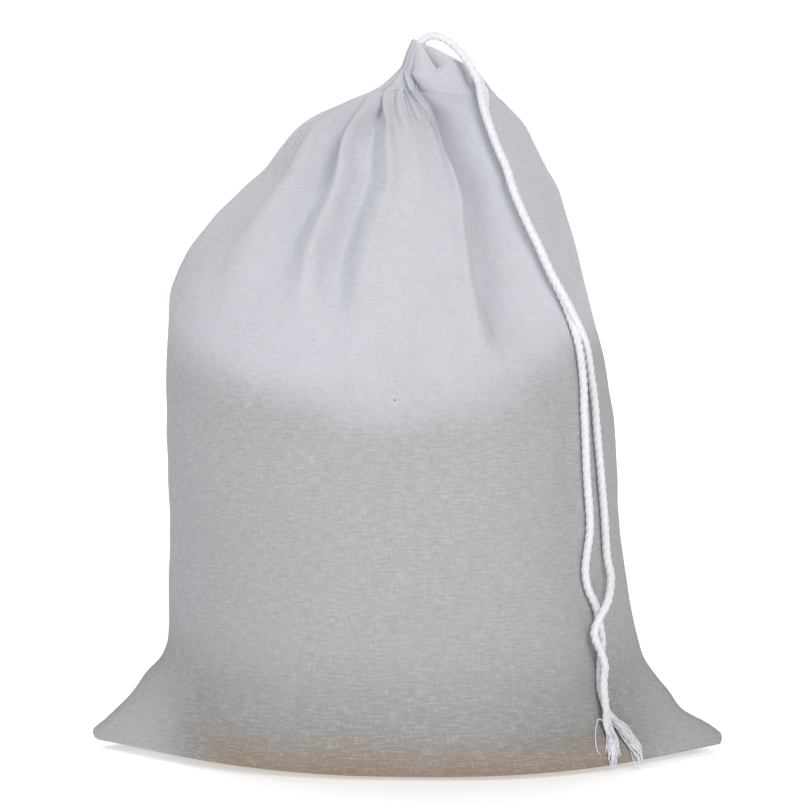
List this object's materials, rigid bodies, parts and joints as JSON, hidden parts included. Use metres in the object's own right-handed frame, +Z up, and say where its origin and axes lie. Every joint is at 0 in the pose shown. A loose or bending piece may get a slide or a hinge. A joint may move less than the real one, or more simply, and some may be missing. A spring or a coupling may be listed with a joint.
{
  "type": "drawstring cooking strainer bag",
  "caption": "Cotton muslin strainer bag with a gathered neck, stitched hem and a drawstring with unravelled ends, filled out and standing on its base",
  "frame": {"origin": "on the floor plane, under the middle of the bag's bounding box, the drawstring's tails left out", "axes": "+Z is up through the neck, -Y is the front where the drawstring hangs, +X is the right as seen from the front"},
  "size_m": [0.1966, 0.118, 0.2232],
  "materials": {
    "muslin": "matt plain weave, undyed cotton",
    "cotton_cord": "matt twisted cotton, bleached"
  },
  "bodies": {
    "root": {"bag_cloth": "muslin", "hem_casing": "muslin", "cord_in_hem": "cotton_cord", "cord_tail_arched": "cotton_cord", "cord_tail_short": "cotton_cord", "frayed_end_left": "cotton_cord", "frayed_end_right": "cotton_cord"}
  },
  "joints": []
}
